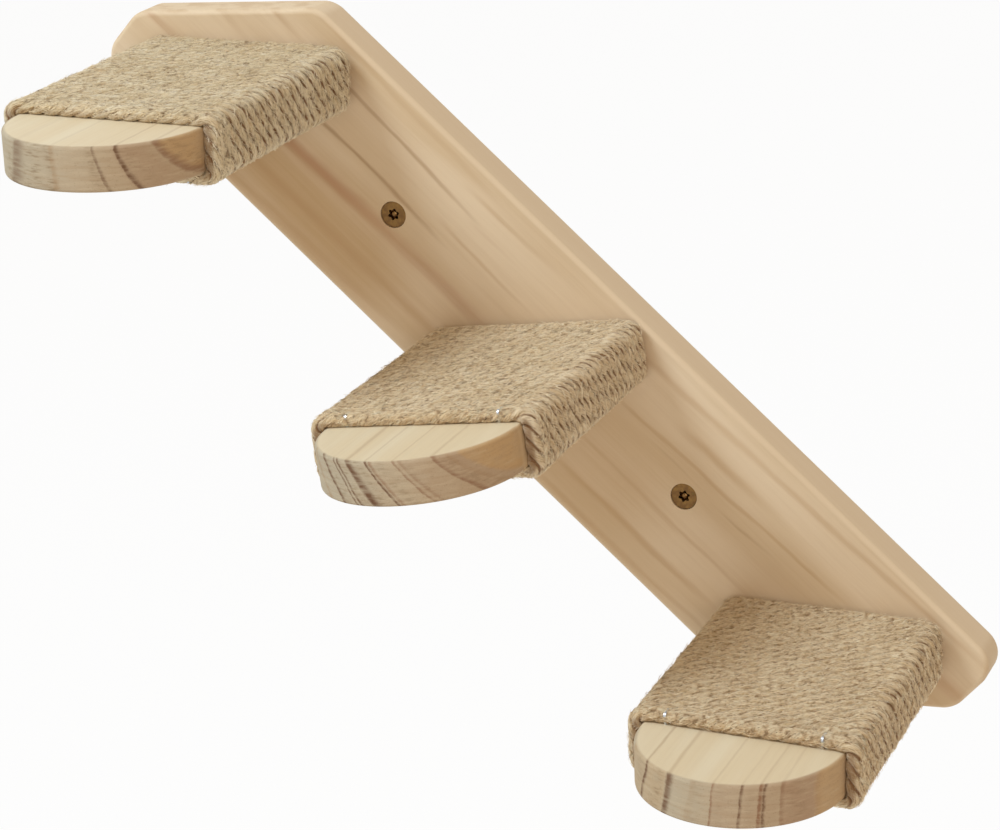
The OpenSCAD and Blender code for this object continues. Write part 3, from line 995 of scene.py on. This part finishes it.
def screw_shape(head_d, shank_d, thread_d, drive_d, length):
    """A screw with its head's top at height 0 and its point upwards along Z."""
    core_r = core_share * thread_d
    tip = point_share * thread_d
    shape = bmesh.new()
    lathe(shape, [
        (head_d / 2 - head_ease_w, 0),
        (head_d / 2, head_ease_h),
        (head_d / 2, head_rim),
        (shank_d / 2, head_rim + head_d / 2 - shank_d / 2),
        (shank_d / 2, shank_len - 0.5 * mm),
        (core_r, shank_len),
        (core_r, length - tip),
        (0, length),
    ], screw_sides)
    rim = [edge for edge in shape.edges if edge.is_boundary]
    star = bmesh.ops.extrude_edge_only(shape, edges=rim)["geom"]
    for point in only(BMVert, star):
        turn = math.atan2(point.co.y, point.co.x)
        point.co.xy *= drive_d / 2 * (0.85 + 0.15 * math.cos(lobes * turn)) / point.co.xy.length
    walls = bmesh.ops.extrude_edge_only(shape, edges=only(BMEdge, star))["geom"]
    foot = only(BMVert, walls)
    bmesh.ops.translate(shape, verts=foot, vec=(0, 0, drive_depth * drive_d))
    bmesh.ops.scale(shape, verts=foot, vec=(0.8, 0.8, 1))
    inner_rim = only(BMEdge, walls)
    for share, sunk in drive_dome:
        dome = bmesh.ops.extrude_edge_only(shape, edges=inner_rim)["geom"]
        inner_rim = only(BMEdge, dome)
        for point in only(BMVert, dome):
            point.co.xy *= share * drive_d / point.co.xy.length
            point.co.z = sunk * drive_d
    bmesh.ops.contextual_create(shape, geom=inner_rim)

    pitch = pitch_share * thread_d
    turns = (length - shank_len - 0.25 * tip) / pitch
    ridge = [
        shape.verts.new((0.8 * core_r, 0, shank_len + height))
        for height in (-ridge_share * pitch, ridge_share * pitch)
    ]
    ridge.insert(1, shape.verts.new((thread_d / 2, 0, shank_len)))
    wedge = shape.faces.new(ridge)
    before = set(shape.verts)
    bmesh.ops.spin(
        shape, geom=[wedge, *wedge.edges, *wedge.verts], cent=(0, 0, 0), axis=(0, 0, 1),
        dvec=(0, 0, pitch / turn_steps), angle=math.tau * turns, steps=round(turns * turn_steps),
        use_duplicate=False,
    )
    for point in shape.verts:
        if point in before or point.co.z < length - tip:
            continue
        point.co.xy *= max(0.1, (length - point.co.z) / tip)
    return shape


def yellow_zinc():
    """Zinc plating passivated yellow, a little blotchy and finely scratched."""
    material, tree, shader = new_material("screw_yellow_zinc", 0.38, 0.5, 1)
    place = add_node(tree, "TexCoord").outputs["Object"]
    patch = cloud(tree, stretch(tree, place, (420, 420, 420)), 3, 0.6)
    colour = tint(tree, fade(tree, patch, 0.35, 0.65), srgb(142, 108, 64), srgb(120, 88, 56))
    colour = tint(tree, fade(tree, patch, 0.6, 0.8, 0, 0.5), colour, srgb(128, 116, 58))
    tree.links.new(colour, shader.inputs["Base Color"])
    scratch = cloud(tree, stretch(tree, place, (2600, 2600, 700)), 2)
    tree.links.new(fade(tree, scratch, 0.3, 0.7, 0.28, 0.5), shader.inputs["Roughness"])
    raise_grain(tree, shader, scratch, 0.02 * mm)
    return material


zinc = yellow_zinc()
for name, side in (("upper", -1), ("lower", 1)):
    shape = screw_shape(wall_head_d, wall_shank_d, wall_thread_d, wall_drive_d, wall_screw_len)
    bmesh.ops.transform(shape, matrix=at_wall_screw(side), verts=shape.verts)
    screw = finish(f"wall_screw_{name}_zinc", shape, zinc)
    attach(screw, "root")
    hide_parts("wall_screw_" + name)
for level in step_turns:
    for name, side in (("left", -1), ("right", 1)):
        shape = screw_shape(step_head_d, step_shank_d, step_thread_d, step_drive_d, step_screw_len)
        bmesh.ops.transform(shape, matrix=at_step_screw(level, side), verts=shape.verts)
        screw = finish(f"step_screw_{level}_{name}_zinc", shape, zinc)
        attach(screw, "root")
        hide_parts(f"step_screw_{level}_{name}")

# Bright staples of flat galvanised wire hold the rope: two on top of each step across its front
# turn, and one underneath on each tail. Their legs lean together down into the wood, and their
# crowns press into the rope: the bite is how far each shoulder is drawn in.
staple_t = 0.5 * mm
staple_w = 1 * mm
staple_depth = 6 * mm
staple_bend = 1.1 * mm
staple_bite = {"upper": 0.7 * mm, "middle": 0.2 * mm, "lower": 0}
staple_sink = {"upper": 0.6 * mm, "middle": 0, "lower": 0}
tail_bite = 0.6 * mm
feet_share = 0.35


def staple_shape(crown):
    """A staple across Y with its crown's underside at height 0 and its legs down along Z."""
    leg = 2 * rope_clear + rope_h + staple_depth
    shape = bmesh.new()
    foot = [
        shape.verts.new((x * staple_w / 2, crown / 2 + y * staple_t / 2, -leg))
        for x, y in ((-1, -1), (1, -1), (1, 1), (-1, 1))
    ]
    end = shape.faces.new(foot)

    def bend_back(face, centre_y, centre_z):
        made = bmesh.ops.spin(
            shape, geom=[face, *face.edges, *face.verts], cent=(0, centre_y, centre_z),
            axis=(1, 0, 0), angle=math.radians(90), steps=4, use_duplicate=False,
        )["geom_last"]
        return only(BMFace, made)[0]

    inner = crown / 2 - staple_t / 2 - staple_bend
    end = pull(shape, end, (0, 0, leg - staple_bend))
    end = bend_back(end, inner, -staple_bend)
    end = pull(shape, end, (0, -2 * inner, 0))
    end = bend_back(end, -inner, -staple_bend)
    pull(shape, end, (0, 0, staple_bend - leg))
    for point in shape.verts:
        if point.co.z < -2 * staple_bend:
            point.co.y *= feet_share
    return shape


def bright_wire():
    """Galvanised wire, bright with duller patches."""
    material, tree, shader = new_material("staple_wire", 0.3, 0.5, 1)
    place = add_node(tree, "TexCoord").outputs["Object"]
    patch = cloud(tree, stretch(tree, place, (900, 900, 900)), 2)
    colour = tint(tree, fade(tree, patch, 0.35, 0.65), srgb(214, 216, 218), srgb(188, 190, 194))
    tree.links.new(colour, shader.inputs["Base Color"])
    tree.links.new(fade(tree, patch, 0.3, 0.7, 0.22, 0.4), shader.inputs["Roughness"])
    return material


def add_staple(name, node, level, x, run, under):
    """Sets a staple across the turn that passes x at a length along the rope."""
    bite = tail_bite if under else staple_bite[level]
    shape = staple_shape(rope_pitches[level] - 2 * bite)
    seat = step_t / 2 + rope_clear + rope_h + rope_clear
    y = rope_place(level, run)[0].y
    if under:
        place = Matrix.Translation((x, y, -seat)) @ Matrix.Rotation(math.pi, 4, "Y")
    else:
        place = Matrix.Translation((x, y, seat - staple_sink[level]))
    place = wound(level) @ place
    bmesh.ops.transform(shape, matrix=place, verts=shape.verts)
    piece = finish(name, shape, wire)
    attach(piece, "root")
    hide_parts(node)


wire = bright_wire()
staple_x = nose_r - staple_inset
to_top = rope_tail + 2 * bend_run + 2 * corner_z + corner_x
tail_x = corner_x - rope_tail / 2
for level in step_turns:
    for name, side in (("left", -1), ("right", 1)):
        x = rope_rightward[level] * side * staple_x
        run = rope_loops * loop_run + to_top + x
        add_staple(f"staple_{level}_{name}_wire", f"staple_{level}_{name}", level, x, run, False)
    for name, side, run in (("back", -1, rope_tail / 2), ("front", 1, rope_run - rope_tail / 2)):
        node = f"tail_staple_{level}_{name}"
        add_staple(node + "_wire", node, level, side * tail_x, run, True)

# The stage is a pale floor far below the ladder and a plain white backdrop. One large soft
# lamp of daylight stands above on the left, and a weak warm one on the right. The room fills
# the shade with warmer light.
floor_drop = 0.45
floor_size = 8
floor_white = 0.94
room_warmth = (1, 0.86, 0.68, 1)
room_strength = 0.55
floor_shape = bmesh.new()
bmesh.ops.create_grid(floor_shape, x_segments=1, y_segments=1, size=floor_size)
bmesh.ops.translate(floor_shape, verts=floor_shape.verts, vec=(0, 0, cad_box[0].z - floor_drop))
floor_material, floor_tree, floor_shader = new_material("pale_floor", 0.9, 0.1)
floor_shader.inputs["Base Color"].default_value = (0.9, 0.9, 0.9, 1)
path = add_node(floor_tree, "LightPath")
white = add_node(floor_tree, "Emission", (1, 1, 1, 1), 1)
seen = calc(floor_tree, "MULTIPLY", path.outputs["Is Camera Ray"], floor_white)
mixed = add_node(floor_tree, "MixShader", seen, floor_shader.outputs[0], white.outputs[0])
floor_tree.links.new(mixed.outputs[0], floor_tree.nodes["Material Output"].inputs["Surface"])
floor = finish("floor", floor_shape, floor_material)

world = bpy.data.worlds.new("studio")
bpy.context.scene.world = world
world.use_nodes = True
sky = world.node_tree
sky.nodes.clear()
fill = add_node(sky, "Background", room_warmth, room_strength)
backdrop = add_node(sky, "Background", (1, 1, 1, 1), 1)
ray = add_node(sky, "LightPath")
shown = calc(sky, "MAXIMUM", ray.outputs["Is Camera Ray"], ray.outputs["Is Glossy Ray"])
shown = calc(sky, "MAXIMUM", shown, ray.outputs["Is Transmission Ray"])
background = add_node(sky, "MixShader", shown, fill.outputs[0], backdrop.outputs[0])
add_node(sky, "OutputWorld", background.outputs[0])


def add_lamp(name, place, size, power, colour):
    """A round soft lamp that shines on the middle of the ladder."""
    data = bpy.data.lights.new(name, "AREA")
    data.shape = "DISK"
    data.size = size
    data.energy = power
    data.color = colour
    lamp = bpy.data.objects.new(name, data)
    lamp.location = place
    lamp.rotation_euler = (-Vector(place)).to_track_quat("-Z", "Y").to_euler()
    bpy.context.scene.collection.objects.link(lamp)


add_lamp("key", place=(-1.1, -1.3, 2.2), size=0.9, power=52, colour=(0.72, 0.87, 1))
add_lamp("side", place=(1.6, -2.2, 0.6), size=1.4, power=8.5, colour=(1, 0.9, 0.82))

bpy.context.scene.view_settings.view_transform = "Standard"
